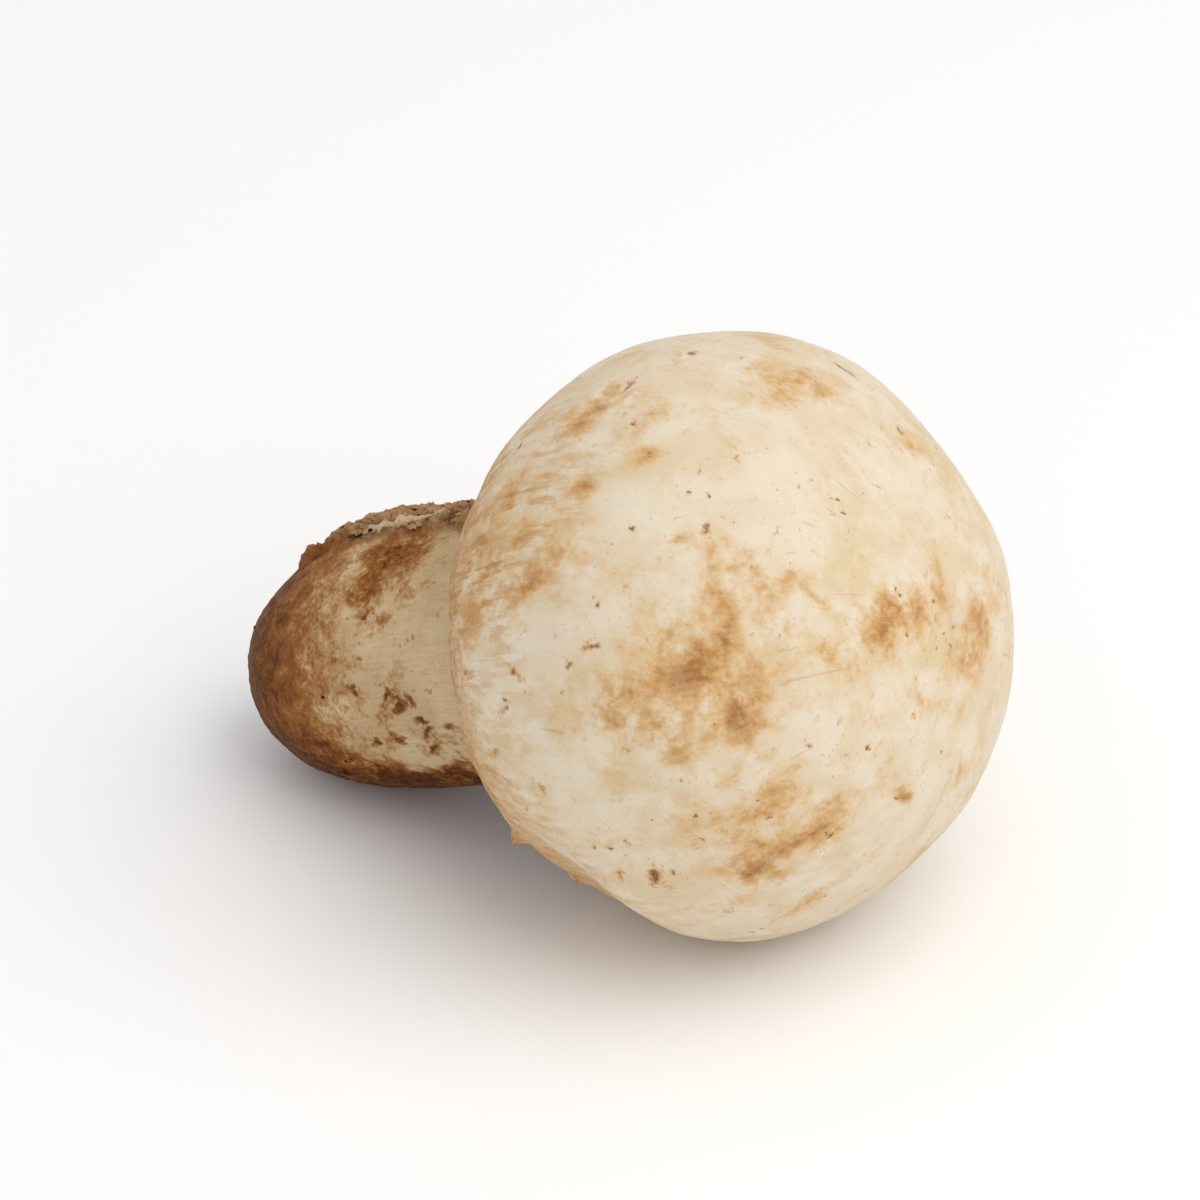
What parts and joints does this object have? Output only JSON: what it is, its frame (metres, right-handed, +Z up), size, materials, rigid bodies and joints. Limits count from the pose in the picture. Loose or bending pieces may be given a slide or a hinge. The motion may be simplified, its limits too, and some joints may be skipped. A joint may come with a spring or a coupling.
{
  "type": "button mushroom",
  "caption": "Whole closed-cap button mushroom lying on its side: round cap with an inrolled margin, short stout stem and a torn crust by its blunt foot.",
  "frame": {"origin": "on the surface the mushroom lies on, under the middle of its bounding box", "axes": "+Z up, +X level along the mushroom from the foot of the stem towards the cap, +Y level across it"},
  "size_m": [0.0682, 0.0498, 0.0487],
  "materials": {
    "flesh": "dry, silky, cream white skin with ochre and brown stains"
  },
  "bodies": {
    "root": {"mushroom": "flesh"}
  },
  "joints": []
}
